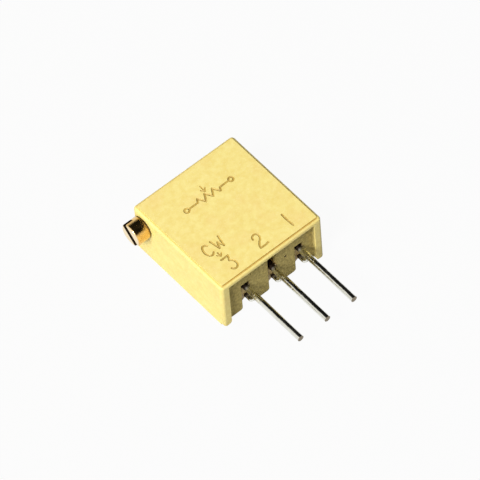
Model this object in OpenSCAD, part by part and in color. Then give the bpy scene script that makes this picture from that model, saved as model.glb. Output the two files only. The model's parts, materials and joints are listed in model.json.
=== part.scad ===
// Trimmer potentiometer, square, multi-turn, side-adjust, three pins in a line.
// It lies on its back with the marked face up: +Z is up, the pins leave towards -Y
// and the adjusting screw leaves towards -X. The origin is the centre of the back face.

/* [Case] */
// Width of the case, along the row of pins
case_w = 9.53; // [9.2:0.01:10]
// Depth of the case, from the seating plane to the far side
case_d = 10.03; // [9.8:0.01:10.5]
// Thickness of the case, from the back face to the marked face
case_t = 4.83; // [4.7:0.01:5.2]
// Radius of the upright outer edges
case_edge_r = 0.28; // [0.2:0.01:0.4]
// Wall at the left and right sides
side_wall = 0.8; // [0.7:0.01:0.85]
// Wall at the side that faces away from the pins
far_wall = 0.6; // [0.5:0.01:0.8]
// Wall that the pins pass through
pin_wall = 0.75; // [0.6:0.01:0.85]
// Wall behind the marked face
marked_wall = 0.5; // [0.4:0.01:0.55]
// Corner radius inside the open back
cavity_r = 0.35; // [0.2:0.01:0.5]

/* [Standoffs] */
// Height of the standoff ribs, which lift the case off the board
standoff = 0.38; // [0.25:0.01:0.5]
// Width of each standoff rib
rib_w = 0.7; // [0.5:0.01:0.9]
// Radius at the lower end of each rib
rib_end_r = 0.25; // [0.1:0.01:0.25]
// Thickness of the lip where the marked wall runs out to the seating plane
lip_t = 0.46; // [0.35:0.01:0.6]

/* [Marked face] */
// Width of the ledge round the raised panel
ledge_w = 0.24; // [0.15:0.01:0.35]
// Height of the raised panel above the ledge
panel_rise = 0.1; // [0.05:0.01:0.15]
// Radius of the outer edge round the marked face
marked_edge_r = 0.2; // [0.1:0.01:0.24]
// Corner radius of the raised panel
panel_r = 0.12; // [0.05:0.01:0.2]

/* [Pins] */
// Diameter of the round pins
pin_dia = 0.51; // [0.45:0.01:0.6]
// Distance from pin to pin
pin_pitch = 2.54; // [2.5:0.01:2.54]
// Length of the pins beyond the seating plane
pin_len = 5.75; // [3.5:0.05:12]
// Distance from the marked face to the middle of the pins
pin_below_face = 2.42; // [2.3:0.01:2.5]
// How far the middle pin lies off the middle of the case
pin_row_x = 0.25; // [0:0.01:0.3]
// Length of each pin on the substrate
pin_on_pad = 1.0; // [0.8:0.01:1.1]
// Width of the pin where it is coined flat, from the slot inwards
coin_w = 0.56; // [0.5:0.01:0.6]
// Thickness of the coined stretch
coin_t = 0.36; // [0.3:0.01:0.4]
// How far the round stretch reaches into the slot
round_in_slot = 0.15; // [0.1:0.01:0.17]
// Thickness of the flattened tail under the substrate
tail_t = 0.26; // [0.2:0.01:0.3]
// Width of the flattened tail
tail_w = 0.38; // [0.3:0.01:0.45]
// How far the tail's cut end stands out past the seating plane
tail_out = 0.35; // [0.1:0.01:0.6]

/* [Pin slots] */
// Width of the slot for each pin, open to the back
slot_w = 0.85; // [0.75:0.01:1]
// Free height above an outer pin in its slot
slot_over_pin = 0.24; // [0.1:0.01:0.3]
// Radius at the mouth of each slot
slot_mouth_r = 0.22; // [0.1:0.01:0.25]

/* [Substrate] */
// Thickness of the ceramic substrate
substrate_t = 0.5; // [0.4:0.01:0.6]
// Gap round the edge of the substrate
substrate_gap = 0.06; // [0.03:0.01:0.1]
// Thickness of the printed conductors
conductor_t = 0.03; // [0.02:0.01:0.03]
// Thickness of the printed resistive track
track_t = 0.04; // [0.03:0.01:0.05]
// Radius of the middle of the resistive track
track_r = 2.4; // [2.2:0.01:2.45]
// Width of the resistive track
track_w = 0.7; // [0.6:0.01:0.8]
// Angle of the track to each side of its middle, in degrees
track_half_angle = 151; // [140:1:152]
// Angle that a printed end conductor covers, in degrees
end_angle = 9; // [5:1:9]
// Outer radius of the printed collector ring
collector_r = 1.35; // [1.3:0.01:1.45]
// Width of the collector ring
collector_w = 0.7; // [0.5:0.01:0.75]
// Width of the printed pads under the pins
pad_w = 0.8; // [0.7:0.01:0.84]
// Width of the printed conductor that leads to the collector
lead_w = 0.36; // [0.25:0.01:0.4]

/* [Potting] */
// Depth of the potting compound below the rim of the back
potting_recess = 0.1; // [0.05:0.01:0.2]
// Depth of the potting compound below the face of the pin wall
tongue_recess = 0.07; // [0.03:0.01:0.15]
// Distance from the middle of the pins to the top of the arch under each of them
arch_below_pin = 1.29; // [1.2:0.01:1.5]
// Radius of the arch under each pin
arch_r = 0.49; // [0.45:0.01:0.55]

/* [Adjusting screw] */
// Diameter of the slotted head
head_dia = 1.9; // [1.8:0.01:2]
// Length of the head outside the case
head_len = 1.18; // [0.8:0.01:1.6]
// Chamfer at the end of the head
head_chamfer = 0.06; // [0.03:0.01:0.12]
// Gap between the head and the case
head_gap = 0.05; // [0.03:0.01:0.08]
// Width of the screwdriver slot
driver_slot_w = 0.52; // [0.4:0.01:0.65]
// Depth of the screwdriver slot
driver_slot_depth = 0.68; // [0.4:0.01:0.7]
// Angle of the screwdriver slot at the middle of the travel, in degrees
driver_slot_angle = 45; // [0:5:90]
// Distance from the far side of the case to the screw's axis
screw_inset = 1.12; // [1.1:0.01:1.3]
// Distance from the marked face to the screw's axis
screw_below_face = 1.42; // [1.38:0.01:1.44]
// Diameter of the screw's journal in the case
journal_dia = 1.64; // [1.62:0.01:1.68]
// Running clearance on each side of a turning part
running_gap = 0.04; // [0.02:0.01:0.06]
// Diameter of the journal at the inner end of the screw
end_journal_dia = 0.9; // [0.8:0.01:1]
// Length of the journal at the inner end of the screw
end_journal_len = 1.0; // [0.7:0.01:1.2]
// Play at the inner end of the screw
end_play = 0.08; // [0.05:0.01:0.15]

/* [Seal and retainer] */
// Distance from the side of the case to the seal's groove
seal_in = 0.3; // [0.2:0.01:0.35]
// Thickness of the seal's round section
seal_section = 0.3; // [0.26:0.01:0.32]
// Free width beside the seal in its groove
seal_side_gap = 0.05; // [0.03:0.01:0.08]
// Distance from the side of the case to the retainer's groove
retainer_in = 1.1; // [1:0.01:1.2]
// Thickness of the retainer plate
retainer_t = 0.25; // [0.2:0.01:0.3]
// Width of the retainer plate
retainer_w = 1.5; // [1.4:0.01:1.56]
// Diameter of the screw's neck inside the retainer
neck_dia = 0.9; // [0.8:0.01:1]

/* [Worm drive] */
// Number of teeth on the wheel
teeth = 25; // [23:1:26]
// Pitch of the worm thread
worm_pitch = 0.785; // [0.75:0.005:0.79]
// Length of the worm thread
worm_len = 4.7; // [4:0.1:4.8]
// Outer diameter of the worm thread
worm_dia = 1.6; // [1.54:0.01:1.6]
// Depth of the worm thread
thread_depth = 0.35; // [0.3:0.01:0.35]
// Slope of the thread's flanks, in degrees
flank_angle = 22; // [18:1:24]
// Gap between the tip of a tooth and the bottom of the thread
tip_gap = 0.06; // [0.04:0.01:0.08]
// Play between the thread and the teeth at the pitch line
mesh_play = 0.11; // [0.08:0.01:0.14]
// Width of the teeth, along the wheel's axis
tooth_face = 0.84; // [0.6:0.01:0.9]
// Gap between the wheel and the wall round it
well_gap = 0.28; // [0.2:0.01:0.32]
// Diameter of the post that the wheel turns on
post_dia = 1.4; // [1.2:0.01:1.6]
// Wall of the hub round the post
hub_wall = 0.5; // [0.4:0.01:0.7]
// Gap between the hub and the marked wall
hub_gap = 0.07; // [0.04:0.01:0.12]
// Thickness of the wheel's web
web_t = 0.34; // [0.3:0.01:0.45]
// Thickness of the toothed rim, below the teeth
rim_t = 0.42; // [0.35:0.01:0.6]

/* [Wiper] */
// Thickness of the wiper's spring metal
leaf_t = 0.08; // [0.06:0.01:0.1]
// Diameter of the stake that holds the wiper on the wheel
stake_dia = 0.8; // [0.6:0.01:0.9]
// Height of the stake below the wheel
stake_h = 0.14; // [0.12:0.01:0.18]
// Width of the wiper's middle
leaf_w = 1.5; // [1.4:0.01:1.6]
// Number of fingers on the resistive track
fingers = 4; // [3:1:4]
// Width of each finger
finger_w = 0.14; // [0.1:0.01:0.16]
// Distance from finger to finger
finger_pitch = 0.22; // [0.2:0.01:0.25]
// Gap between a finger and the printed film
contact_gap = 0.02; // [0.01:0.01:0.03]

/* [Hidden] */
$fn = 64;
over = 0.5;
sink = 0.05;

case_yellow = "#f3d98a";
potting_tan = "#c9b071";
alumina_white = "#f2f0ea";
resistor_black = "#2b2a2c";
silver_palladium = "#b9b7ae";
tinned_copper = "#c9ccc8";
solder_grey = "#9fa3a3";
screw_brass = "#d9a441";
seal_red = "#8a3b2c";
wheel_white = "#e6e2d6";
wiper_gold = "#d8b45a";

// Planes of the case
seat_y = -case_d / 2;
wall_y = seat_y + standoff;
room_front = wall_y + pin_wall;
room_far = case_d / 2 - far_wall;
room_half_w = case_w / 2 - side_wall;
ceiling_z = case_t - marked_wall;
ledge_z = case_t - panel_rise;
side_x = -case_w / 2;

// Heights of the stack on the substrate
pin_z = case_t - pin_below_face;
solder_film = 0.03;
pad_top = pin_z - pin_dia / 2 - solder_film;
film_z = pad_top - conductor_t;
substrate_z = film_z - substrate_t;
tail_z = substrate_z - tail_t / 2;
slot_top = pin_z + pin_dia / 2 + slot_over_pin;

// Places of the pins: pin 3 is next to the screw's side
pin_x = [pin_row_x + pin_pitch, pin_row_x, pin_row_x - pin_pitch];
pad_front = room_front + substrate_gap + sink;
pin_end_y = pad_front + pin_on_pad;
coin_y = wall_y + round_in_slot;
solder_cover = 0.05;
arch_z = pin_z - arch_below_pin;

// The screw and the wheel
screw_y = case_d / 2 - screw_inset;
screw_z = case_t - screw_below_face;
bore_dia = journal_dia + 2 * running_gap;
wheel_pitch_r = teeth * worm_pitch / (2 * PI);
worm_pitch_r = (worm_dia - thread_depth) / 2;
wheel_y = screw_y - wheel_pitch_r - worm_pitch_r;
tooth_tip_r = screw_y - wheel_y - (worm_dia / 2 - thread_depth) - tip_gap;
tooth_root_r = screw_y - wheel_y - worm_dia / 2 - tip_gap;
lead_angle = atan(worm_pitch / (2 * PI * worm_pitch_r));
well_r = tooth_tip_r + well_gap;
wheel_low = screw_z - tooth_face / 2;
slot_end = wheel_y - tooth_root_r / 3;
collar_t = 0.18;
worm_end = worm_len / 2;
bore_end = worm_end + collar_t + end_play;
web_z = wheel_low + web_t;
core_r = worm_dia / 2 - thread_depth - sink;
seal_groove_w = seal_section + 2 * seal_side_gap;
seal_ring_r = bore_dia / 2 - running_gap / 2 - seal_section / 2;
seal_floor_r = seal_ring_r - seal_section / 2 - running_gap / 4;
neck_w = retainer_t + 2 * running_gap;
retainer_gap = 0.03;
retainer_top = screw_z + retainer_w / 2;

// Tools for outlines
module rounded_rect(x0, y0, x1, y1, r) {
    translate([x0 + r, y0]) square([x1 - x0 - 2 * r, y1 - y0]);
    translate([x0, y0 + r]) square([x1 - x0, y1 - y0 - 2 * r]);
    for (x = [x0 + r, x1 - r], y = [y0 + r, y1 - r]) translate([x, y]) circle(r);
}

// What a rounded corner takes away, with its square corner at the origin and the solid at +X +Y
module corner_waste(r) {
    difference() {
        translate([-over, -over]) square(r + over);
        translate([r, r]) circle(r);
    }
}

// A ring cut to the angles from a0 to a1, counted from +Y, clockwise seen from above
module ring_part(r, w, a0, a1) {
    steps = ceil((a1 - a0) / 30);
    far = 2 * (r + w);
    intersection() {
        difference() {
            circle(r + w / 2);
            circle(r - w / 2);
        }
        polygon(concat([[0, 0]], [for (i = [0:steps])
            let (a = a0 + (a1 - a0) * i / steps) far * [sin(a), cos(a)]]));
    }
}

// A bent strip: path holds [y, z] points of its middle line
function unit(v) = v / norm(v);
function side_of(v) = [-v[1], v[0]];
function path_normal(path, i) =
    let (
        before = unit(path[max(i, 1)] - path[max(i, 1) - 1]),
        after = unit(path[min(i, len(path) - 2) + 1] - path[min(i, len(path) - 2)]),
        middle = unit(side_of(before) + side_of(after))
    ) middle / (middle * side_of(before));

module bent_strip(path, thickness, width) {
    last = len(path) - 1;
    upper = [for (i = [0:last]) path[i] + path_normal(path, i) * thickness / 2];
    lower = [for (i = [last:-1:0]) path[i] - path_normal(path, i) * thickness / 2];
    rotate([90, 0, 90]) linear_extrude(width, center = true) polygon(concat(upper, lower));
}

// Places an outline of [y, z] points along X, from x0 to x1
module along_x(x0, x1) {
    translate([x0, 0, 0]) rotate([90, 0, 90]) linear_extrude(x1 - x0) children();
}

// Places an outline of [x, z] points along Y, from y0 to y1
module along_y(y0, y1) {
    translate([0, y1, 0]) rotate([90, 0, 0]) linear_extrude(y1 - y0) children();
}

// Case: one moulding, open at the back
module case_outline() {
    rounded_rect(-case_w / 2, seat_y, case_w / 2, case_d / 2, case_edge_r);
}

module standoff_recess() {
    translate([-case_w / 2 + rib_w, seat_y - over, -over])
        cube([case_w - 2 * rib_w, standoff + over, case_t - lip_t + over]);
    for (side = [0, 1]) mirror([side, 0, 0])
        along_y(seat_y - over, wall_y) {
            translate([-case_w / 2, 0]) corner_waste(rib_end_r);
            translate([-case_w / 2 + rib_w, 0]) mirror([1, 0]) corner_waste(rib_end_r);
        }
}

module marked_face_ledge() {
    translate([0, 0, ledge_z]) linear_extrude(panel_rise + over) difference() {
        square(2 * case_d, center = true);
        rounded_rect(-case_w / 2 + ledge_w, seat_y + ledge_w,
            case_w / 2 - ledge_w, case_d / 2 - ledge_w, panel_r);
    }
}

// What the rounded outer edge of the ledge takes off, along the sides and round the corners
module marked_edge_waste() {
    half_w = case_w / 2;
    half_d = case_d / 2;
    module edge() {
        mirror([0, 1]) corner_waste(min(marked_edge_r, ledge_w, case_edge_r));
    }
    translate([0, 0, ledge_z]) for (side = [0, 1]) {
        mirror([side, 0, 0]) along_y(-half_d + case_edge_r, half_d - case_edge_r)
            translate([-half_w, 0]) edge();
        mirror([0, side, 0]) along_x(-half_w + case_edge_r, half_w - case_edge_r)
            translate([-half_d, 0]) edge();
        for (end = [0, 1]) mirror([side, 0, 0]) mirror([0, end, 0])
            translate([half_w - case_edge_r, half_d - case_edge_r, 0])
                rotate_extrude(angle = 90) translate([case_edge_r, 0]) mirror([1, 0]) edge();
    }
}

module pin_slot(x, top) {
    translate([x - slot_w / 2, wall_y - over, -over]) cube([slot_w, pin_wall + over, top + over]);
    translate([x - slot_w / 2, wall_y, film_z - sink])
        cube([slot_w, slot_end - wall_y, slot_top - film_z + sink]);
    along_y(wall_y - over, room_front)
        for (side = [0, 1]) translate([x, 0]) mirror([side, 0])
            translate([slot_w / 2, 0]) corner_waste(slot_mouth_r);
}

module back_room() {
    translate([0, 0, -over]) linear_extrude(film_z + over)
        rounded_rect(-room_half_w, room_front, room_half_w, room_far, cavity_r);
}

module wheel_well() {
    translate([0, wheel_y, film_z - sink]) cylinder(h = ceiling_z - film_z + sink, r = well_r);
}

module screw_bore() {
    translate([0, screw_y, screw_z]) rotate([0, 90, 0]) {
        translate([0, 0, side_x - over]) cylinder(h = bore_end - side_x + over, d = bore_dia);
        cylinder(h = bore_end + end_journal_len, d = end_journal_dia + 2 * running_gap);
    }
}

module retainer_slot() {
    x0 = side_x + retainer_in + running_gap - retainer_gap;
    translate([x0, screw_y - retainer_w / 2 - retainer_gap, film_z - sink])
        cube([retainer_t + 2 * retainer_gap, retainer_w + 2 * retainer_gap, retainer_top - film_z + sink]);
}

module case() {
    color(case_yellow) difference() {
        linear_extrude(case_t) case_outline();
        standoff_recess();
        marked_face_ledge();
        marked_edge_waste();
        back_room();
        difference() {
            wheel_well();
            translate([0, wheel_y, web_z + hub_gap]) cylinder(h = case_t, d = post_dia);
        }
        screw_bore();
        retainer_slot();
        pin_slot(pin_x[0], slot_top);
        pin_slot(pin_x[1], case_t - lip_t);
        pin_slot(pin_x[2], slot_top);
    }
}

// Potting: cast compound that fills the back and the pin slots up to the pins
module potting_tongue(x) {
    difference() {
        translate([x - slot_w / 2, wall_y + tongue_recess, arch_z - slot_w])
            cube([slot_w, pin_wall - tongue_recess + substrate_gap / 2, pin_z - arch_z + slot_w]);
        along_y(wall_y - over, room_front + over) translate([x, 0]) {
            translate([0, arch_z - arch_r]) circle(arch_r);
            translate([-slot_w, arch_z - arch_r - slot_w]) square([2 * slot_w, slot_w]);
        }
    }
}

module potting() {
    color(potting_tan) difference() {
        union() {
            translate([0, 0, potting_recess]) linear_extrude(substrate_z - potting_recess)
                rounded_rect(-room_half_w, room_front, room_half_w, room_far, cavity_r);
            for (x = pin_x) potting_tongue(x);
        }
        for (x = pin_x) pin(x);
    }
}

// Substrate: ceramic plate with a hole for each pin's bend
module substrate() {
    color(alumina_white) translate([0, 0, substrate_z]) linear_extrude(substrate_t) difference() {
        rounded_rect(-room_half_w + substrate_gap, room_front + substrate_gap,
            room_half_w - substrate_gap, room_far - substrate_gap, cavity_r - substrate_gap);
        for (x = pin_x) translate([x - tail_w / 2 - substrate_gap, pin_end_y - tail_t - substrate_gap])
            square([tail_w + 2 * substrate_gap, tail_t + 2 * substrate_gap]);
    }
}

// Printed films on the substrate
module printed(thickness) {
    translate([0, 0, film_z]) linear_extrude(thickness) difference() {
        children();
        for (x = pin_x) translate([x - tail_w / 2 - substrate_gap, pin_end_y - tail_t - substrate_gap])
            square([tail_w + 2 * substrate_gap, tail_t + 2 * substrate_gap]);
    }
}

module resistive_track() {
    color(resistor_black) printed(track_t)
        translate([0, wheel_y]) ring_part(track_r, track_w, -track_half_angle, track_half_angle);
}

module collector_track() {
    color(silver_palladium) printed(conductor_t) {
        translate([0, wheel_y]) difference() {
            circle(collector_r);
            circle(collector_r - collector_w);
        }
        translate([pin_x[1] - lead_w / 2, pad_front])
            square([lead_w, wheel_y - collector_r + collector_w / 2 - pad_front]);
        translate([pin_x[1] - pad_w / 2, pad_front]) square([pad_w, pin_end_y + lead_w - pad_front]);
    }
}

function on_ring(radius, angle) = [radius * sin(angle), wheel_y + radius * cos(angle)];

module end_conductor(x) {
    out = abs(x);
    strip_y = wheel_y - sqrt(pow(well_r, 2) - pow(out - pad_w / 2, 2)) + substrate_gap;
    outer_r = track_r + track_w / 2;
    inner_r = track_r - track_w / 2;
    a0 = track_half_angle;
    a1 = track_half_angle + end_angle;
    color(silver_palladium) printed(conductor_t) mirror([x < 0 ? 1 : 0, 0]) polygon([
        [out - pad_w / 2, pad_front], [out + pad_w / 2, pad_front], [out + pad_w / 2, strip_y + lead_w],
        on_ring(outer_r, a0), on_ring(inner_r, a0), on_ring(inner_r, a1), on_ring(outer_r, a1),
        [out - pad_w / 2, strip_y]
    ]);
}

module end_pad_1() {
    end_conductor(pin_x[0]);
}

module end_pad_3() {
    end_conductor(pin_x[2]);
}

// Pins: round wire along the substrate, bent down through it, with a flattened tail below
module pin(x) {
    color(tinned_copper) {
        translate([x, coin_y, pin_z]) rotate([90, 0, 0])
            cylinder(h = coin_y - seat_y + pin_len, d = pin_dia);
        translate([x - coin_w / 2, coin_y - sink, pin_z - pin_dia / 2])
            cube([coin_w, pin_end_y - coin_y + sink, coin_t]);
        translate([x - tail_w / 2, pin_end_y - tail_t, tail_z - tail_t / 2])
            cube([tail_w, tail_t, pin_z - tail_z + tail_t / 2]);
        translate([x, 0, tail_z - tail_t / 2]) linear_extrude(tail_t) {
            translate([0, seat_y - tail_out + tail_w / 2]) circle(d = tail_w);
            translate([-tail_w / 2, seat_y - tail_out + tail_w / 2])
                square([tail_w, pin_end_y - seat_y + tail_out - tail_w / 2]);
        }
    }
}

module pin_1() {
    pin(pin_x[0]);
}

module pin_2() {
    pin(pin_x[1]);
}

module pin_3() {
    pin(pin_x[2]);
}

// Solder round each pin, from its pad up
module solder(x) {
    foot = pad_w / 2 - sink / 2;
    lip = coin_w / 2 + solder_cover;
    steps = 6;
    fillet = [for (i = [0:steps]) let (a = 90 * i / steps)
        [foot - (foot - lip) * sin(a), pad_top + (pin_z - pad_top) * (1 - cos(a))]];
    color(solder_grey) difference() {
        along_y(pad_front + sink, pin_end_y - tail_t - sink) translate([x, 0])
            polygon(concat(fillet, [for (i = [steps:-1:0]) [-fillet[i][0], fillet[i][1]]]));
        translate([x - pad_w, seat_y, pad_top - pad_w]) cube([2 * pad_w, case_d, pad_w]);
        pin(x);
    }
}

module solder_1() {
    solder(pin_x[0]);
}

module solder_2() {
    solder(pin_x[1]);
}

module solder_3() {
    solder(pin_x[2]);
}

// Adjusting screw: turned brass with a worm thread
function thread_r(share) =
    let (
        from_crest = abs(share - 0.5) * worm_pitch,
        crest_half = (worm_pitch / 2 - thread_depth * tan(flank_angle)) / 2,
        down = (from_crest - crest_half) / tan(flank_angle)
    ) worm_dia / 2 - min(max(down, 0), thread_depth);

module worm_thread() {
    turns = (worm_len + sink) / worm_pitch;
    points = 24;
    translate([0, 0, -worm_end - sink / 2]) rotate(-90 - 180 * turns)
        linear_extrude(worm_len + sink, twist = -360 * turns, slices = round(18 * turns), $fn = points)
            polygon([for (i = [0:points - 1])
                let (a = 360 * i / points) thread_r(i / points) * [cos(a), sin(a)]]);
}

module turned_screw() {
    head_tip = side_x - head_gap - head_len;
    seal_x = side_x + seal_in;
    neck_x = side_x + retainer_in;
    collar_x = worm_end + collar_t;
    rotate_extrude() polygon([
        [0, head_tip],
        [head_dia / 2 - head_chamfer, head_tip],
        [head_dia / 2, head_tip + head_chamfer],
        [head_dia / 2, side_x - head_gap],
        [journal_dia / 2, side_x - head_gap],
        [journal_dia / 2, seal_x],
        [seal_floor_r, seal_x],
        [seal_floor_r, seal_x + seal_groove_w],
        [journal_dia / 2, seal_x + seal_groove_w],
        [journal_dia / 2, neck_x],
        [neck_dia / 2, neck_x],
        [neck_dia / 2, neck_x + neck_w],
        [journal_dia / 2, neck_x + neck_w],
        [journal_dia / 2, -worm_end],
        [core_r, -worm_end],
        [core_r, worm_end],
        [worm_dia / 2, worm_end],
        [worm_dia / 2, collar_x],
        [end_journal_dia / 2, collar_x],
        [end_journal_dia / 2, collar_x + end_journal_len],
        [0, collar_x + end_journal_len]
    ]);
}

module adjusting_screw() {
    slot_floor = side_x - head_gap - head_len + driver_slot_depth;
    color(screw_brass) translate([0, screw_y, screw_z]) difference() {
        rotate([0, 90, 0]) {
            turned_screw();
            worm_thread();
        }
        rotate([driver_slot_angle, 0, 0])
            translate([slot_floor - head_len - over, -head_dia, -driver_slot_w / 2])
                cube([head_len + over, 2 * head_dia, driver_slot_w]);
    }
}

// Seal: rubber ring in the screw's groove
module screw_seal() {
    color(seal_red) translate([side_x + seal_in + seal_groove_w / 2, screw_y, screw_z]) rotate([0, 90, 0])
        rotate_extrude() translate([seal_ring_r, 0]) circle(d = seal_section);
}

// Retainer: fork plate that stands in the case and straddles the screw's neck
module screw_retainer() {
    x0 = side_x + retainer_in + running_gap;
    notch_r = neck_dia / 2 + running_gap;
    color(tinned_copper) translate([0, screw_y, 0]) along_x(x0, x0 + retainer_t) difference() {
        translate([-retainer_w / 2, film_z + retainer_gap])
            square([retainer_w, retainer_top - film_z - 2 * retainer_gap]);
        translate([0, screw_z]) circle(notch_r);
        translate([-notch_r, screw_z]) square([2 * notch_r, retainer_w]);
    }
}

// Worm wheel: moulded wheel that turns on the case's post
module tooth() {
    pitch_half_w = (worm_pitch / 2 - mesh_play) / 2;
    tip_half_w = pitch_half_w - (tooth_tip_r - wheel_pitch_r) * tan(flank_angle);
    root_half_w = pitch_half_w + (wheel_pitch_r - tooth_root_r) * tan(flank_angle);
    rotate([0, -lead_angle, 0]) linear_extrude(2 * tooth_face, center = true) polygon([
        [-root_half_w, tooth_root_r - 2 * sink], [root_half_w, tooth_root_r - 2 * sink],
        [root_half_w, tooth_root_r], [tip_half_w, tooth_tip_r],
        [-tip_half_w, tooth_tip_r], [-root_half_w, tooth_root_r]
    ]);
}

module worm_wheel() {
    hub_r = post_dia / 2 + running_gap + hub_wall;
    color(wheel_white) translate([0, wheel_y, 0]) {
        intersection() {
            translate([0, 0, wheel_low]) cylinder(h = tooth_face, r = tooth_tip_r + over);
            for (i = [0:teeth - 1]) translate([0, 0, screw_z]) rotate(360 * i / teeth) tooth();
        }
        difference() {
            union() {
                translate([0, 0, wheel_low]) cylinder(h = tooth_face, r = tooth_root_r);
                translate([0, 0, wheel_low]) cylinder(h = ceiling_z - hub_gap - wheel_low, r = hub_r);
            }
            difference() {
                translate([0, 0, web_z]) cylinder(h = case_t, r = tooth_root_r - rim_t);
                cylinder(h = case_t, r = hub_r);
            }
            translate([0, 0, web_z]) cylinder(h = case_t, d = post_dia + 2 * running_gap);
        }
        translate([0, 0, wheel_low - stake_h]) cylinder(h = stake_h + sink, d = stake_dia);
    }
}

// Wiper: sprung leaf under the wheel, with fingers on the track and on the collector
module wiper() {
    leaf_z = wheel_low - leaf_t / 2;
    leaf_front = leaf_w * 0.75;
    bend_h = leaf_t * 0.6;
    track_z = film_z + track_t + contact_gap + bend_h;
    collector_z = film_z + conductor_t + contact_gap + bend_h;
    collector_mid = collector_r - collector_w / 2;
    fold_y = collector_mid + leaf_w / 2;
    color(wiper_gold) translate([0, wheel_y, 0]) {
        translate([0, 0, wheel_low - leaf_t]) linear_extrude(leaf_t) difference() {
            translate([-leaf_w / 2, -leaf_front]) square([leaf_w, 2 * leaf_front]);
            circle(d = stake_dia + contact_gap);
        }
        for (i = [0:fingers - 1]) translate([(i - (fingers - 1) / 2) * finger_pitch, 0, 0])
            bent_strip([
                [leaf_front - sink, leaf_z], [leaf_front + 2 * leaf_t, leaf_z],
                [track_r, track_z], [track_r + 2 * leaf_t, track_z + leaf_t]
            ], leaf_t, finger_w);
        for (side = [-1, 1]) translate([side * finger_pitch, 0, 0])
            bent_strip([
                [-leaf_front + sink, leaf_z], [-fold_y, leaf_z], [-fold_y - 2 * leaf_t, leaf_z - 2 * leaf_t],
                [-fold_y, leaf_z - 4 * leaf_t], [-collector_mid, collector_z],
                [-collector_mid + 2 * leaf_t, collector_z + leaf_t]
            ], leaf_t, finger_w);
    }
}

case();
potting();
substrate();
resistive_track();
collector_track();
end_pad_1();
end_pad_3();
pin_1();
pin_2();
pin_3();
solder_1();
solder_2();
solder_3();
adjusting_screw();
screw_seal();
screw_retainer();
worm_wheel();
wiper();
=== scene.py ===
import json
import math

import bmesh
import bpy
from mathutils import Matrix, Vector

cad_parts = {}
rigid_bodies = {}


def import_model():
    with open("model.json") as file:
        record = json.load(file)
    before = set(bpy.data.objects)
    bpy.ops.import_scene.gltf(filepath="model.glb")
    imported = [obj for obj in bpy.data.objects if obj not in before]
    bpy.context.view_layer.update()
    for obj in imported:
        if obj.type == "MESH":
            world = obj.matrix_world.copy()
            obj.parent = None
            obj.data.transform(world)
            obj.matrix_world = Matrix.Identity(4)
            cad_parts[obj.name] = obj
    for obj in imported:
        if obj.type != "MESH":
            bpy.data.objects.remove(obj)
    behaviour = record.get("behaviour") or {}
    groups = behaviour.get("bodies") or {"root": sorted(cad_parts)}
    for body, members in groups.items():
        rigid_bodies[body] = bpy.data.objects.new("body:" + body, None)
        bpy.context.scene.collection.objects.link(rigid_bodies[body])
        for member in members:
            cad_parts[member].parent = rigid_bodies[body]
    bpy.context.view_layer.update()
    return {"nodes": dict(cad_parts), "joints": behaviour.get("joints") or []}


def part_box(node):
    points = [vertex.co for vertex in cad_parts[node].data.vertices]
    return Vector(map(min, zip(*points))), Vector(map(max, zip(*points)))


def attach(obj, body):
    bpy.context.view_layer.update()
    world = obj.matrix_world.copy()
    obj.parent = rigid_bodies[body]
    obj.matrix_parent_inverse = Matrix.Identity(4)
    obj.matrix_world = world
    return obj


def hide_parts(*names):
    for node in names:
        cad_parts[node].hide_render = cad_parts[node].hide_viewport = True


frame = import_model()

# Case: the square housing of the trimmer, open at the back, with two standoff ribs and three pin
# slots along the board side. It is moulded in one shot from yellow glass-filled thermoplastic, so
# its edges are a little soft. Sizes here are in millimetres, and the CAD case gives the main ones.
MM = 0.001
case_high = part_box("case")[1]
HALF_WIDTH = round(case_high.x / MM, 3)
HALF_DEPTH = round(case_high.y / MM, 3)
FACE_Z = round(case_high.z / MM, 3)
PANEL_INSET = 0.24
PANEL_STEP = 0.1
RIB_WIDTH = 0.7
LIP_THICK = 0.43
EDGE_ROUND = 0.03
ROUND_FROM_ANGLE = 40

# Lines that part the marked face into tiles, so that its grooves are cut into small clean faces.
PARTED_AT_X = (-3.3, -1.3, 0.7, 2.3)
PARTED_AT_Y = (3.4, 1.7, -0.9, -2.4, -3.6)


def linear(hex_colour):
    """The linear RGBA of an sRGB hex colour."""
    channels = [int(hex_colour[i:i + 2], 16) / 255 for i in (1, 3, 5)]
    curved = [c / 12.92 if c <= 0.04045 else ((c + 0.055) / 1.055) ** 2.4 for c in channels]
    return curved + [1.0]


def per_mm(size):
    """The texture scale that gives a pattern of this size in millimetres."""
    return 1 / (size * MM)


def add(tree, kind, inputs=None, **settings):
    """Adds a shader node. An input is a value, or the socket of another node to link."""
    made = tree.nodes.new("ShaderNode" + kind)
    for name, value in settings.items():
        setattr(made, name, value)
    for name, value in (inputs or {}).items():
        if isinstance(value, bpy.types.NodeSocket):
            tree.links.new(value, made.inputs[name])
        else:
            made.inputs[name].default_value = value
    return made


def empty_material(name):
    """A new material with nothing in its tree yet."""
    material = bpy.data.materials.new(name)
    material.use_nodes = True
    material.node_tree.nodes.clear()
    return material


def stained_where(tree, *shares):
    """How strong a stain is where all of these shares hold, which is their product."""
    stain = shares[0]
    for share in shares[1:]:
        stain = add(tree, "Math", {0: stain.outputs[0], 1: share.outputs[0]},
                    operation="MULTIPLY")
    return stain.outputs[0]


# The painted shade in the recess starts just behind the ribs' feet and ends inside the pin slots.
# The hair takes in the ribs' inner sides here, and keeps the painted shade line below off the
# marked face.
RECESS_SHADE_PATCH_SIZE = 0.22
RECESS_SHADE_LEAST = 0.68
RECESS_SHADE_FROM_Y = -4.97
RECESS_SHADE_FULL_Y = -4.8
RECESS_SHADE_END_Y = -4.0
HAIR = 0.02


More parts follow.
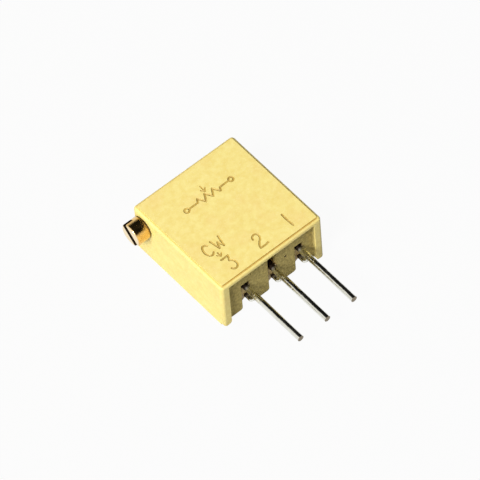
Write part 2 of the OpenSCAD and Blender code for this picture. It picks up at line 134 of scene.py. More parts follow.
def recess_painted_shade(tree, place):
    """The share of painted shade: patchy, in the recess between the ribs and under the lip."""
    spot = add(tree, "SeparateXYZ", {0: place})
    aside = add(tree, "Math", {0: spot.outputs["X"]}, operation="ABSOLUTE")
    inward = add(tree, "MapRange", {"Value": spot.outputs["Y"], "From Min": RECESS_SHADE_FROM_Y * MM,
                                    "From Max": RECESS_SHADE_FULL_Y * MM})
    patches = add(tree, "TexNoise", {"Vector": place, "Scale": per_mm(RECESS_SHADE_PATCH_SIZE),
                                     "Detail": 4.0})
    patchy = add(tree, "MapRange", {"Value": patches.outputs["Fac"], "From Min": 0.38,
                                    "From Max": 0.62, "To Min": RECESS_SHADE_LEAST})
    before_end = add(tree, "Math", {0: spot.outputs["Y"], 1: RECESS_SHADE_END_Y * MM},
                     operation="LESS_THAN")
    between_ribs = add(tree, "Math", {0: aside.outputs[0],
                                      1: (HALF_WIDTH - RIB_WIDTH + HAIR) * MM},
                       operation="LESS_THAN")
    under_lip = add(tree, "Math", {0: spot.outputs["Z"], 1: (FACE_Z - LIP_THICK) * MM},
                    operation="LESS_THAN")
    return stained_where(tree, inward, patchy, before_end, between_ribs, under_lip)


# The painted shade line at the foot of the panel's step is full up to 0.05 mm past the panel and
# gone at 0.13 mm. It is painted weaker towards the two sides.
LINE_STRENGTH = 0.8
LINE_INSIDE = 0.04
LINE_FULL_TO = 0.05
LINE_ENDS_AT = 0.13
LINE_LOWEST_Z = 4.635
SIDE_FADE_FROM_X = 4.35
SIDE_FADE_TO_X = 4.55
SIDE_FADE_SHARE = 0.35


def panel_step_painted_shade(tree, place):
    """The share of the painted shade line in the step at the foot of the raised marked panel."""
    spot = add(tree, "SeparateXYZ", {0: place})
    aside = add(tree, "Math", {0: spot.outputs["X"]}, operation="ABSOLUTE")
    along = add(tree, "Math", {0: spot.outputs["Y"]}, operation="ABSOLUTE")
    past_x = add(tree, "Math", {0: aside.outputs[0], 1: (HALF_WIDTH - PANEL_INSET) * MM},
                 operation="SUBTRACT")
    past_y = add(tree, "Math", {0: along.outputs[0], 1: (HALF_DEPTH - PANEL_INSET) * MM},
                 operation="SUBTRACT")
    past_panel = add(tree, "Math", {0: past_x.outputs[0], 1: past_y.outputs[0]},
                     operation="MAXIMUM")
    line = add(tree, "MapRange", {"Value": past_panel.outputs[0], "From Min": LINE_FULL_TO * MM,
                                  "From Max": LINE_ENDS_AT * MM, "To Min": LINE_STRENGTH,
                                  "To Max": 0.0})
    side_fade = add(tree, "MapRange", {"Value": aside.outputs[0], "From Min": SIDE_FADE_FROM_X * MM,
                                   "From Max": SIDE_FADE_TO_X * MM, "To Min": 1.0,
                                   "To Max": SIDE_FADE_SHARE})
    over_rim = add(tree, "Math", {0: spot.outputs["Z"], 1: LINE_LOWEST_Z * MM},
                   operation="GREATER_THAN")
    at_panel = add(tree, "Math", {0: past_panel.outputs[0], 1: -LINE_INSIDE * MM},
                   operation="GREATER_THAN")
    under_face = add(tree, "Math", {0: spot.outputs["Z"], 1: (FACE_Z - HAIR) * MM},
                     operation="LESS_THAN")
    return stained_where(tree, line, side_fade, over_rim, at_panel, under_face)


# Glass-filled thermoplastic as it leaves a fine eroded mould: satin, with clouds of a warmer
# yellow where the fibres bunched, and pale specks where they end at the surface. The fibres are
# about 0.01 mm thick, and are drawn coarser so that they show.
CLOUD_SIZE = 2.2
MOTTLE_SIZE = 0.45
FIBRE_SIZE = 0.08
GRAIN_DEPTH = 0.004
CASE_PALE = "#f3e28f"
CASE_DEEP = "#ecd57c"
CASE_WARM = "#eecb80"
CASE_FIBRE = "#fbeebc"
# Painted shade for the recess between the ribs and under the lip.
CASE_PAINTED_SHADE = "#a39254"
# Painted shade for the foot of the panel's step.
STEP_FOOT_SHADE = "#b88f38"


def moulded_plastic(name, pale, deep, warm):
    """Satin glass-filled plastic with painted shade in the recess and at the foot of the panel."""
    material = empty_material(name)
    tree = material.node_tree
    place = add(tree, "TexCoord").outputs["Object"]
    clouds = add(tree, "TexNoise", {"Vector": place, "Scale": per_mm(CLOUD_SIZE), "Detail": 3.0})
    mottle = add(tree, "TexNoise", {"Vector": place, "Scale": per_mm(MOTTLE_SIZE), "Detail": 5.0,
                                    "Roughness": 0.65})
    fibres = add(tree, "TexNoise", {"Vector": place, "Scale": per_mm(FIBRE_SIZE), "Detail": 2.0})
    spread = add(tree, "MapRange", {"Value": mottle.outputs["Fac"], "From Min": 0.35,
                                    "From Max": 0.65})
    two_tone = add(tree, "Mix", {0: spread.outputs[0], 6: linear(deep), 7: linear(pale)},
                   data_type="RGBA")
    warmth = add(tree, "MapRange", {"Value": clouds.outputs["Fac"], "From Min": 0.5,
                                    "From Max": 0.75, "To Max": 0.42})
    warmed = add(tree, "Mix", {0: warmth.outputs[0], 6: two_tone.outputs[2], 7: linear(warm)},
                 data_type="RGBA")
    fibre_ends = add(tree, "MapRange", {"Value": fibres.outputs["Fac"], "From Min": 0.58,
                                        "From Max": 0.7, "To Max": 0.3})
    speckled = add(tree, "Mix", {0: fibre_ends.outputs[0], 6: warmed.outputs[2],
                                 7: linear(CASE_FIBRE)}, data_type="RGBA")
    # Painted shade in the recess between the ribs and under the lip.
    recess_shade = recess_painted_shade(tree, place)
    recess_shaded = add(tree, "Mix", {0: recess_shade, 6: speckled.outputs[2], 7: linear(CASE_PAINTED_SHADE)},
                data_type="RGBA")
    # Painted shade along the foot of the panel's step.
    step_shaded = add(tree, "Mix", {0: panel_step_painted_shade(tree, place), 6: recess_shaded.outputs[2],
                              7: linear(STEP_FOOT_SHADE)}, data_type="RGBA")
    gloss = add(tree, "MapRange", {"Value": mottle.outputs["Fac"], "To Min": 0.44, "To Max": 0.6})
    dulled = add(tree, "Mix", {0: recess_shade, 2: gloss.outputs[0], 3: 0.9})
    grain = add(tree, "Bump", {"Height": fibres.outputs["Fac"], "Distance": GRAIN_DEPTH * MM,
                               "Strength": 0.6})
    skin = add(tree, "BsdfPrincipled", {"Base Color": step_shaded.outputs[2],
                                        "Roughness": dulled.outputs[0], "IOR": 1.5,
                                        "Normal": grain.outputs[0]})
    add(tree, "OutputMaterial", {"Surface": skin.outputs[0]})
    return material


def solid_object(name, points, faces):
    """An object from corner points in millimetres and faces, in the part's own frame."""
    mesh = bpy.data.meshes.new(name)
    mesh.from_pydata([Vector(p) * MM for p in points], [], faces)
    made = bpy.data.objects.new(name, mesh)
    bpy.context.scene.collection.objects.link(made)
    return made


def apply_modifiers(piece):
    """Puts what the piece's modifiers make into its mesh."""
    shown = piece.evaluated_get(bpy.context.evaluated_depsgraph_get())
    finished = bpy.data.meshes.new_from_object(shown)
    piece.modifiers.clear()
    piece.data = finished


def split_flat(piece, height, cuts):
    """Parts the flat face at this height along straight lines, given by a point and a normal."""
    parted = bmesh.new()
    parted.from_mesh(piece.data)
    for middle, across in cuts:
        flat = [f for f in parted.faces if f.normal.z > 0.999
                and abs(f.calc_center_median().z - height * MM) < 0.001 * MM]
        edges = list(dict.fromkeys(e for f in flat for e in f.edges))
        corners = list(dict.fromkeys(v for f in flat for v in f.verts))
        bmesh.ops.bisect_plane(parted, geom=corners + edges + flat, plane_co=Vector(middle) * MM,
                               plane_no=across)
    parted.to_mesh(piece.data)
    parted.free()


# The CAD mesh is in triangles that don't share corners. It is welded, and its flat faces are
# joined, before its edges are softened.
welded = bmesh.new()
welded.from_mesh(frame["nodes"]["case"].data)
bmesh.ops.remove_doubles(welded, verts=welded.verts, dist=0.0001 * MM)
bmesh.ops.dissolve_limit(welded, angle_limit=math.radians(0.5), verts=welded.verts,
                         edges=welded.edges)
welded.verts.index_update()
case = solid_object("case_moulding", [v.co / MM for v in welded.verts],
                    [[v.index for v in f.verts] for f in welded.faces])
welded.free()
case.data.materials.append(moulded_plastic("glass_filled_thermoplastic_yellow", CASE_PALE,
                                           CASE_DEEP, CASE_WARM))
rounding = case.modifiers.new("soft_edges", "BEVEL")
rounding.width = EDGE_ROUND * MM
rounding.segments = 2
rounding.limit_method = "ANGLE"
rounding.angle_limit = math.radians(ROUND_FROM_ANGLE)
rounding.use_clamp_overlap = True
apply_modifiers(case)
split_flat(case, FACE_Z, [((x, 0, 0), (1, 0, 0)) for x in PARTED_AT_X]
           + [((0, y, 0), (0, 1, 0)) for y in PARTED_AT_Y])

# Markings: the terminal numbers 1, 2 and 3, CW with an arrow towards 3 for the way a clockwise
# turn moves the wiper, and a wiring sign of a variable resistor. Raised lines in the mould sink
# them as round-bottomed grooves, and three small pits in the wall between the pins are filled dark.
GROOVE_WIDTH = 0.17
FINE_WIDTH = 0.12
GROOVE_DEPTH = 0.06
AROUND = 20
END_RINGS = 4
CURVE_STEPS = 6
SHARP_FROM_ANGLE = 32
NUMERALS = [
    [(2.77, -2.91), (2.75, -3.47), (2.79, -4.17)],
    [(-0.22, -3.21), (-0.12, -2.99), (0.09, -2.9), (0.28, -2.99), (0.34, -3.2), (0.24, -3.46),
     (-0.01, -3.69), (-0.19, -3.91), (-0.25, -4.14)],
    [(-0.25, -4.14), (0.12, -4.15), (0.47, -4.11)],
    [(-3.07, -3.02), (-2.76, -3.03), (-2.44, -3.01)],
    [(-2.44, -3.01), (-2.54, -3.22), (-2.65, -3.43)],
    [(-2.65, -3.43), (-2.47, -3.56), (-2.38, -3.83), (-2.44, -4.12), (-2.66, -4.27),
     (-2.86, -4.21), (-2.97, -4.08)],
]
TURN_LETTERS = [
    [(-3.03, -1.36), (-3.17, -1.24), (-3.36, -1.24), (-3.51, -1.45), (-3.57, -1.75),
     (-3.51, -2.04), (-3.36, -2.23), (-3.16, -2.24), (-3.01, -2.1)],
    [(-2.63, -1.25), (-2.55, -1.7), (-2.47, -2.14)],
    [(-2.47, -2.14), (-2.36, -1.88), (-2.25, -1.62)],
    [(-2.25, -1.62), (-2.16, -1.89), (-2.07, -2.16)],
    [(-2.07, -2.16), (-1.98, -1.7), (-1.89, -1.23)],
]
TURN_ARROW = [
    [(-2.86, -2.36), (-2.85, -2.54), (-2.84, -2.74)],
    [(-3.04, -2.52), (-2.94, -2.63), (-2.84, -2.74)],
    [(-2.64, -2.52), (-2.74, -2.63), (-2.84, -2.74)],
]

# The wiring sign: a zigzag of twelve steps on leads that end in rings, under the wiper's arrow.
SIGN_Y = 2.0
SIGN_REACH = 1.9
LEAD_MIDDLE = 1.5
SIGN_END_R = 0.19
RING_TURN = 30
ZIGZAG_LEFT = -1.05
ZIGZAG_STEP = 0.175
ZIGZAG_STEPS = 12
ZIGZAG_HALF_HEIGHT = 0.3
WIPER_ARROW = [
    [(0, SIGN_Y + 1.0), (0, SIGN_Y + 0.7), (0, SIGN_Y + 0.42)],
    [(-0.2, SIGN_Y + 0.7), (-0.1, SIGN_Y + 0.56), (0, SIGN_Y + 0.42)],
    [(0.2, SIGN_Y + 0.7), (0.1, SIGN_Y + 0.56), (0, SIGN_Y + 0.42)],
]

# The wall between the pins stands back from the ribs. A pit has its place in x and z, and a radius.
STANDOFF = 0.38
WALL_Y = STANDOFF - HALF_DEPTH
PITS = [(1.51, 2.6, 0.105), (-1.77, 3.49, 0.045), (-2.2, 4.2, 0.045)]


def smooth_line(points, steps):
    """Points along a soft curve through the given ones."""
    ends = [points[0]] + list(points) + [points[-1]]
    line = []
    for i in range(1, len(ends) - 2):
        p0, p1, p2, p3 = (Vector(ends[i + k]) for k in (-1, 0, 1, 2))
        for step in range(steps):
            t = step / steps
            line.append(0.5 * (2 * p1 + (p2 - p0) * t + (2 * p0 - 5 * p1 + 4 * p2 - p3) * t ** 2
                               + (3 * p1 - p0 - 3 * p2 + p3) * t ** 3))
    return line + [Vector(points[-1])]


def round_ended_rod(name, line, height, radius):
    """A closed rod with round ends along a flat line, with its middle at this height."""
    stations = []
    for i, point in enumerate(line):
        before = (point - line[i - 1]).normalized() if i else None
        after = (line[i + 1] - point).normalized() if i < len(line) - 1 else None
        along = ((before or after) + (after or before)).normalized()
        if before and after:
            stations.append((point, along, radius))
            continue
        rings = range(END_RINGS) if before else range(END_RINGS - 1, -1, -1)
        outward = along if before else -along
        for ring in rings:
            angle = math.pi / 2 * ring / END_RINGS
            stations.append((point + outward * radius * math.sin(angle), along,
                             radius * math.cos(angle)))
    points = [(*(line[0] - stations[0][1] * radius), height)]
    for middle, along, reach in stations:
        across = Vector((-along.y, along.x))
        for k in range(AROUND):
            turn = 2 * math.pi * k / AROUND
            side = middle + across * reach * math.cos(turn)
            points.append((side.x, side.y, height + reach * math.sin(turn)))
    points.append((*(line[-1] + stations[-1][1] * radius), height))
    last = 1 + (len(stations) - 1) * AROUND
    faces = []
    for k in range(AROUND):
        nearby = (k + 1) % AROUND
        faces.append([0, 1 + nearby, 1 + k])
        for a in range(1, last, AROUND):
            faces.append([a + k, a + nearby, a + AROUND + nearby, a + AROUND + k])
        faces.append([last + k, last + nearby, len(points) - 1])
    return solid_object(name, points, faces)


# The case's own plastic in the grooves, deeper in colour as painted shade, because little light
# reaches their floors.
ENGRAVING_PALE = "#ceb058"
ENGRAVING_DEEP = "#a8893c"

engraved_yellow = moulded_plastic("glass_filled_thermoplastic_in_grooves", ENGRAVING_PALE,
                                  ENGRAVING_DEEP, ENGRAVING_DEEP)

# The pits are filled with a nearly black, dull colour with a brown cloudiness.
PIT_FILL_LUMP = 0.05

pit_dark_fill = empty_material("dark_fill_in_pits")
tree = pit_dark_fill.node_tree
place = add(tree, "TexCoord").outputs["Object"]
lumps = add(tree, "TexNoise", {"Vector": place, "Scale": per_mm(PIT_FILL_LUMP), "Detail": 3.0})
pit_fill_tone = add(tree, "Mix", {0: lumps.outputs["Fac"], 6: linear("#241a12"),
                                 7: linear("#4a3824")}, data_type="RGBA")
pit_fill_skin = add(tree, "BsdfPrincipled", {"Base Color": pit_fill_tone.outputs[2], "Roughness": 0.8})
add(tree, "OutputMaterial", {"Surface": pit_fill_skin.outputs[0]})

zigzag = [(ZIGZAG_LEFT, SIGN_Y)]
for k in range(1, ZIGZAG_STEPS, 2):
    rise = ZIGZAG_HALF_HEIGHT if k % 4 == 1 else -ZIGZAG_HALF_HEIGHT
    zigzag.append((ZIGZAG_LEFT + ZIGZAG_STEP * k, SIGN_Y + rise))
zigzag.append((ZIGZAG_LEFT + ZIGZAG_STEP * ZIGZAG_STEPS, SIGN_Y))
sign = [[a, ((a[0] + b[0]) / 2, (a[1] + b[1]) / 2), b] for a, b in zip(zigzag, zigzag[1:])]
sign += [[(-SIGN_REACH, SIGN_Y), (-LEAD_MIDDLE, SIGN_Y), (ZIGZAG_LEFT, SIGN_Y)],
         [(-ZIGZAG_LEFT, SIGN_Y), (LEAD_MIDDLE, SIGN_Y), (SIGN_REACH, SIGN_Y)]]
for ring_x, first in ((-SIGN_REACH - SIGN_END_R, 0), (SIGN_REACH + SIGN_END_R, 180)):
    turns = [math.radians(first + a) for a in range(0, 360, RING_TURN)]
    sign.append([(ring_x + SIGN_END_R * math.cos(turn), SIGN_Y + SIGN_END_R * math.sin(turn))
                 for turn in turns])

cutters = bpy.data.collections.new("mould_lines")
bpy.context.scene.collection.children.link(cutters)
for strokes, width in ((NUMERALS + TURN_LETTERS + sign, GROOVE_WIDTH),
                       (TURN_ARROW + WIPER_ARROW, FINE_WIDTH)):
    rod_r = (width ** 2 / 4 + GROOVE_DEPTH ** 2) / (2 * GROOVE_DEPTH)
    for stroke in strokes:
        rod = round_ended_rod("mould_line", smooth_line(stroke, CURVE_STEPS),
                              FACE_Z + rod_r - GROOVE_DEPTH, rod_r)
        rod.data.materials.append(engraved_yellow)
        cutters.objects.link(rod)
for x, z, radius in PITS:
    pit = round_ended_rod("mould_pit", [Vector((x, WALL_Y)), Vector((x, WALL_Y + radius))],
                          z, radius)
    pit.data.materials.append(pit_dark_fill)
    cutters.objects.link(pit)
engraving = case.modifiers.new("engraving", "BOOLEAN")
engraving.operation = "DIFFERENCE"
engraving.operand_type = "COLLECTION"
engraving.collection = cutters
engraving.solver = "MANIFOLD"
engraving.material_mode = "TRANSFER"
apply_modifiers(case)
for cutter in list(cutters.objects):
    bpy.data.objects.remove(cutter)
bpy.data.collections.remove(cutters)

# The panel's upright sides get the grooves' darker plastic as painted shade, but for the one by the
# screw. They lie between the ledge round the panel and the marked face.
OVER_LEDGE_Z = FACE_Z - PANEL_STEP + 0.005

groove_slot = case.data.materials.find(engraved_yellow.name)
for face in case.data.polygons:
    upright = abs(face.normal.z) < 0.8 and face.normal.x > -0.5
    if upright and OVER_LEDGE_Z * MM < face.center.z < FACE_Z * MM:
        face.material_index = groove_slot
case.data.shade_smooth()
case.data.set_sharp_from_angle(angle=math.radians(SHARP_FROM_ANGLE))
keep_flat = case.modifiers.new("flat_faces_stay_flat", "WEIGHTED_NORMAL")
keep_flat.keep_sharp = True
apply_modifiers(case)
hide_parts("case")
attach(case, "housing")

# Potting: the compound that closes the back, locks the pins and fills the lower part of each pin
# slot. It is epoxy, poured with the case face down, so it set smooth with its own level skin.
SWIRL_SIZE = 0.8
SWIRL_DEPTH = 0.03
GRIT_SIZE = 0.12
POTTING_PALE = "#c9b078"
POTTING_DEEP = "#8f7646"
POTTING_FLECK = "#8a7440"


def dress(node, material):
    """Gives a CAD node its material."""
    for slot in frame["nodes"][node].material_slots:
        slot.material = material


# Cast epoxy with a mineral filler: a cloudy tan with darker flecks and a slightly glossy, uneven
# skin. The filler's grains are about 0.03 mm, and are drawn coarser so that they show.
cast_epoxy = empty_material("cast_epoxy_tan")
tree = cast_epoxy.node_tree
place = add(tree, "TexCoord").outputs["Object"]
filler = add(tree, "TexNoise", {"Vector": place, "Scale": per_mm(SWIRL_SIZE), "Detail": 6.0,
                                "Roughness": 0.6})
grit = add(tree, "TexVoronoi", {"Vector": place, "Scale": per_mm(GRIT_SIZE)})
swirl = add(tree, "MapRange", {"Value": filler.outputs["Fac"], "From Min": 0.35, "From Max": 0.65})
body_colour = add(tree, "Mix", {0: swirl.outputs[0], 6: linear(POTTING_DEEP),
                                7: linear(POTTING_PALE)}, data_type="RGBA")
dots = add(tree, "MapRange", {"Value": grit.outputs["Distance"], "From Min": 0.12, "From Max": 0.2,
                              "To Min": 0.35, "To Max": 0.0})
flecked = add(tree, "Mix", {0: dots.outputs[0], 6: body_colour.outputs[2],
                            7: linear(POTTING_FLECK)}, data_type="RGBA")
skin_waves = add(tree, "Bump", {"Height": filler.outputs["Fac"], "Distance": SWIRL_DEPTH * MM,
                                "Strength": 0.5})
resin = add(tree, "BsdfPrincipled", {"Base Color": flecked.outputs[2], "Roughness": 0.45,
                                     "IOR": 1.54, "Normal": skin_waves.outputs[0]})
add(tree, "OutputMaterial", {"Surface": resin.outputs[0]})
dress("potting", cast_epoxy)

# Substrate: the square chip that carries the resistance, inside the case under the wheel. It is
# pressed from 96% alumina and fired, and the potting holds it in.
ALUMINA_GRAIN = 0.05
ALUMINA_RELIEF = 0.003
FIRING_SPOT = 0.5

# Fired alumina: chalk white and matt, with faint grey firing spots. Its grains are a few
# thousandths of a millimetre, and are drawn coarser so that they show.
fired_alumina = empty_material("fired_alumina_matt")
tree = fired_alumina.node_tree
place = add(tree, "TexCoord").outputs["Object"]
grains = add(tree, "TexVoronoi", {"Vector": place, "Scale": per_mm(ALUMINA_GRAIN)})
spots = add(tree, "TexNoise", {"Vector": place, "Scale": per_mm(FIRING_SPOT), "Detail": 4.0})
greying = add(tree, "MapRange", {"Value": spots.outputs["Fac"], "From Min": 0.55, "From Max": 0.75,
                                 "To Max": 0.6})
chalk = add(tree, "Mix", {0: greying.outputs[0], 6: linear("#f1efe8"), 7: linear("#d6d2c6")},
            data_type="RGBA")
fired_grain = add(tree, "Bump", {"Height": grains.outputs["Distance"],
                                 "Distance": ALUMINA_RELIEF * MM})
ceramic = add(tree, "BsdfPrincipled", {"Base Color": chalk.outputs[2], "Roughness": 0.7,
                                       "IOR": 1.76, "Normal": fired_grain.outputs[0]})
add(tree, "OutputMaterial", {"Surface": ceramic.outputs[0]})
dress("substrate", fired_alumina)

# Printed films: the cermet resistor arc, and the silver-palladium collector and end pads. Each is
# a paste that is squeezed onto the chip through a woven screen, dried, and fired to fuse it on.
SCREEN_PITCH = 0.08
PRINT_RELIEF = 0.004
FIRED_PATCH = 0.25


def printed_film(name, colour, patch_colour, metallic, roughness):
    """A fired thick film, softly blotched, with the faint print of the screen's mesh.

    The bands of a wave texture lie 2 pi / 20 of its unit apart, so that dividing by 20 draws the
    mesh about six times as coarse as it is, and it shows.
    """
    material = empty_material(name)
    tree = material.node_tree
    place = add(tree, "TexCoord").outputs["Object"]
    patches = add(tree, "TexNoise", {"Vector": place, "Scale": per_mm(FIRED_PATCH), "Detail": 5.0})
    tone = add(tree, "Mix", {0: patches.outputs["Fac"], 6: linear(colour), 7: linear(patch_colour)},
               data_type="RGBA")
    along, across = (add(tree, "TexWave", {"Vector": place, "Scale": per_mm(SCREEN_PITCH) / 20,
                                           "Distortion": 0.4}, bands_direction=way)
                     for way in ("X", "Y"))
    mesh_print = add(tree, "Math", {0: along.outputs["Fac"], 1: across.outputs["Fac"]},
                     operation="MULTIPLY")
    relief = add(tree, "Bump", {"Height": mesh_print.outputs[0], "Distance": PRINT_RELIEF * MM})
    film = add(tree, "BsdfPrincipled", {"Base Color": tone.outputs[2], "Metallic": metallic,
                                        "Roughness": roughness, "Normal": relief.outputs[0]})
    add(tree, "OutputMaterial", {"Surface": film.outputs[0]})
    return material


# Cermet is a glassy blue-black with a soft shine, and silver-palladium a dull grey metal.
dress("resistive_track", printed_film("fired_cermet_film", "#232225", "#37343a", 0.0, 0.35))
silver_film = printed_film("fired_silver_palladium_film", "#b4b2a8", "#98958a", 1.0, 0.42)
for film_node in ("collector_track", "end_pad_1", "end_pad_3"):
    dress(film_node, silver_film)

# Pins: three pieces of round copper wire, drawn, hot-tinned, sheared to length and coined flat
# inside the case, where each is soldered to its pad and the potting holds it.
PIN_TIP_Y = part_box("pin_1")[0].y / MM
SHEARED_DEPTH = 0.015
ENTRY_SHADE_FROM_Y = -5.1
ENTRY_SHADE_FULL_Y = -4.75
DIE_LINE = 0.05
DIE_LINE_DEPTH = 0.004
DRAWN_OUT = 0.03
TIN_FLOW = 0.7
TIN_FLOW_DEPTH = 0.08

# Hot tin on drawn copper: bright, with a slight unevenness where the tin flowed, and faint lines
# along the wire. It has dark brown painted shade where it enters the case, and is dull at its
# sheared end. The lines of the drawing die are about 0.01 mm apart, and are drawn coarser so that
# they show.
tinned_wire = empty_material("hot_tinned_copper_wire")
tree = tinned_wire.node_tree
place = add(tree, "TexCoord").outputs["Object"]
stretch = add(tree, "Mapping", {"Vector": place, "Scale": (1.0, DRAWN_OUT, 1.0)})
die_lines = add(tree, "TexNoise", {"Vector": stretch.outputs[0], "Scale": per_mm(DIE_LINE),
                                   "Detail": 3.0})
tin_flow = add(tree, "TexNoise", {"Vector": place, "Scale": per_mm(TIN_FLOW), "Detail": 4.0})
tin_tone = add(tree, "Mix", {0: tin_flow.outputs["Fac"], 6: linear("#f2f2ec"),
                             7: linear("#dadad0")}, data_type="RGBA")
tin_gloss = add(tree, "MapRange", {"Value": tin_flow.outputs["Fac"], "From Min": 0.35,
                                   "From Max": 0.65, "To Min": 0.1, "To Max": 0.22})
flow_relief = add(tree, "Bump", {"Height": tin_flow.outputs["Fac"],
                                 "Distance": TIN_FLOW_DEPTH * MM, "Strength": 0.6})
line_relief = add(tree, "Bump", {"Height": die_lines.outputs["Fac"],
                                 "Distance": DIE_LINE_DEPTH * MM, "Strength": 0.5,
                                 "Normal": flow_relief.outputs[0]})
pin_way = add(tree, "SeparateXYZ", {0: place})
# Painted shade on the wire where it enters the case.
entry_shade = add(tree, "MapRange", {"Value": pin_way.outputs["Y"], "From Min": ENTRY_SHADE_FROM_Y * MM,
                              "From Max": ENTRY_SHADE_FULL_Y * MM})
entry_shaded_tone = add(tree, "Mix", {0: entry_shade.outputs[0], 6: tin_tone.outputs[2], 7: linear("#3a2f26")},
                  data_type="RGBA")
entry_shaded_gloss = add(tree, "Mix", {0: entry_shade.outputs[0], 2: tin_gloss.outputs[0], 3: 0.55})
sheared = add(tree, "Math", {0: pin_way.outputs["Y"], 1: (PIN_TIP_Y + SHEARED_DEPTH) * MM},
              operation="LESS_THAN")
sheared_tone = add(tree, "Mix", {0: sheared.outputs[0], 6: entry_shaded_tone.outputs[2],
                                 7: linear("#8c8270")}, data_type="RGBA")
sheared_gloss = add(tree, "Mix", {0: sheared.outputs[0], 2: entry_shaded_gloss.outputs[0], 3: 0.5})
tin = add(tree, "BsdfPrincipled", {"Base Color": sheared_tone.outputs[2], "Metallic": 1.0,
                                   "Roughness": sheared_gloss.outputs[0],
                                   "Normal": line_relief.outputs[0]})
add(tree, "OutputMaterial", {"Surface": tin.outputs[0]})
for number in (1, 2, 3):
    dress(f"pin_{number}", tinned_wire)

# Solder: the joint under each pin on its pad. It is tin-lead, put on as paste and reflowed, and
# it froze slowly inside the warm case.
FROST_SIZE = 0.06
FROST_DEPTH = 0.006

# Reflowed solder: duller and greyer than the tinned wire, with a frosted skin. Its crystals are
# about 0.02 mm, and are drawn coarser so that they show.
dull_solder = empty_material("reflowed_solder_dull")
tree = dull_solder.node_tree
place = add(tree, "TexCoord").outputs["Object"]
frost = add(tree, "TexVoronoi", {"Vector": place, "Scale": per_mm(FROST_SIZE)})
solder_tone = add(tree, "Mix", {0: frost.outputs["Distance"], 6: linear("#a9abac"),
                                7: linear("#83868a")}, data_type="RGBA")
frost_relief = add(tree, "Bump", {"Height": frost.outputs["Distance"],
                                  "Distance": FROST_DEPTH * MM})
frozen = add(tree, "BsdfPrincipled", {"Base Color": solder_tone.outputs[2], "Metallic": 1.0,
                                      "Roughness": 0.38, "Normal": frost_relief.outputs[0]})
add(tree, "OutputMaterial", {"Surface": frozen.outputs[0]})
for number in (1, 2, 3):
    dress(f"solder_{number}", dull_solder)

# Adjusting screw: slotted head, journals and worm in one piece, turned on a lathe from brass rod.
# It turns in the case's own bores, and the retainer keeps it from coming out.
screw_turn = next(j for j in frame["joints"] if j["name"] == "screw_turn")
SCREW_END_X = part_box("adjusting_screw")[0].x / MM
END_HIGHLIGHT_FULL = 0.005
END_HIGHLIGHT_DEPTH = 0.045
JOIN_SHADE_FROM_X = -4.97
JOIN_SHADE_FULL_X = -4.86
SLOT_HALF_WIDTH = 0.262
SLOT_FLOOR_X = -5.31
SLOT_LEAN = math.radians(45)
STAIN_SIZE = 0.5
TOOL_FEED = 0.05
TOOL_MARK_DEPTH = 0.0012

# Lathe-turned brass: polished gold with fine rings round the head and over its end, stained a
# little by handling. Its end face has a painted highlight, and the driver slot and the ring where
# it meets the case have painted shade. The tool's feed is about 0.02 mm a turn, and is drawn
# coarser so that the rings show.
turned_brass = empty_material("lathe_turned_brass")
tree = turned_brass.node_tree
place = add(tree, "TexCoord").outputs["Object"]
from_axis = add(tree, "VectorMath", {0: place, 1: screw_turn["pos_m"]}, operation="SUBTRACT")
spot = add(tree, "SeparateXYZ", {0: from_axis.outputs[0]})
flat_place = add(tree, "CombineXYZ", {"Y": spot.outputs["Y"], "Z": spot.outputs["Z"]})
radius_out = add(tree, "VectorMath", {0: flat_place.outputs[0]}, operation="LENGTH")
travel = add(tree, "Math", {0: spot.outputs["X"], 1: radius_out.outputs["Value"]},
             operation="ADD")
phase = add(tree, "Math", {0: travel.outputs[0], 1: 2 * math.pi * per_mm(TOOL_FEED)},
            operation="MULTIPLY")
tool_marks = add(tree, "Math", {0: phase.outputs[0]}, operation="SINE")
stain = add(tree, "TexNoise", {"Vector": place, "Scale": per_mm(STAIN_SIZE), "Detail": 5.0})
stain_share = add(tree, "MapRange", {"Value": stain.outputs["Fac"], "From Min": 0.45,
                                     "From Max": 0.75, "To Max": 0.6})
brass_tone = add(tree, "Mix", {0: stain_share.outputs[0], 6: linear("#f2cd8a"),
                               7: linear("#cf9a50")}, data_type="RGBA")
# Painted highlight: the end face is painted paler.
end_highlight = add(tree, "MapRange", {"Value": spot.outputs["X"],
                               "From Min": (SCREW_END_X + END_HIGHLIGHT_FULL) * MM,
                               "From Max": (SCREW_END_X + END_HIGHLIGHT_DEPTH) * MM,
                               "To Min": 0.85, "To Max": 0.0})
end_highlighted_tone = add(tree, "Mix", {0: end_highlight.outputs[0], 6: brass_tone.outputs[2],
                               7: linear("#fdebc4")}, data_type="RGBA")
# Painted shade on the ring where the head meets the case.
join_shade = add(tree, "MapRange", {"Value": spot.outputs["X"], "From Min": JOIN_SHADE_FROM_X * MM,
                                 "From Max": JOIN_SHADE_FULL_X * MM, "To Max": 0.9})
join_shaded_tone = add(tree, "Mix", {0: join_shade.outputs[0], 6: end_highlighted_tone.outputs[2],
                               7: linear("#3a2616")}, data_type="RGBA")
across_slot = add(tree, "VectorMath", {0: from_axis.outputs[0],
                                       1: (0, -math.sin(SLOT_LEAN), math.cos(SLOT_LEAN))},
                  operation="DOT_PRODUCT")
off_middle = add(tree, "Math", {0: across_slot.outputs["Value"]}, operation="ABSOLUTE")
between_walls = add(tree, "Math", {0: off_middle.outputs[0], 1: SLOT_HALF_WIDTH * MM},
                    operation="LESS_THAN")
before_floor = add(tree, "Math", {0: spot.outputs["X"], 1: SLOT_FLOOR_X * MM},
                   operation="LESS_THAN")
in_slot = stained_where(tree, between_walls, before_floor)
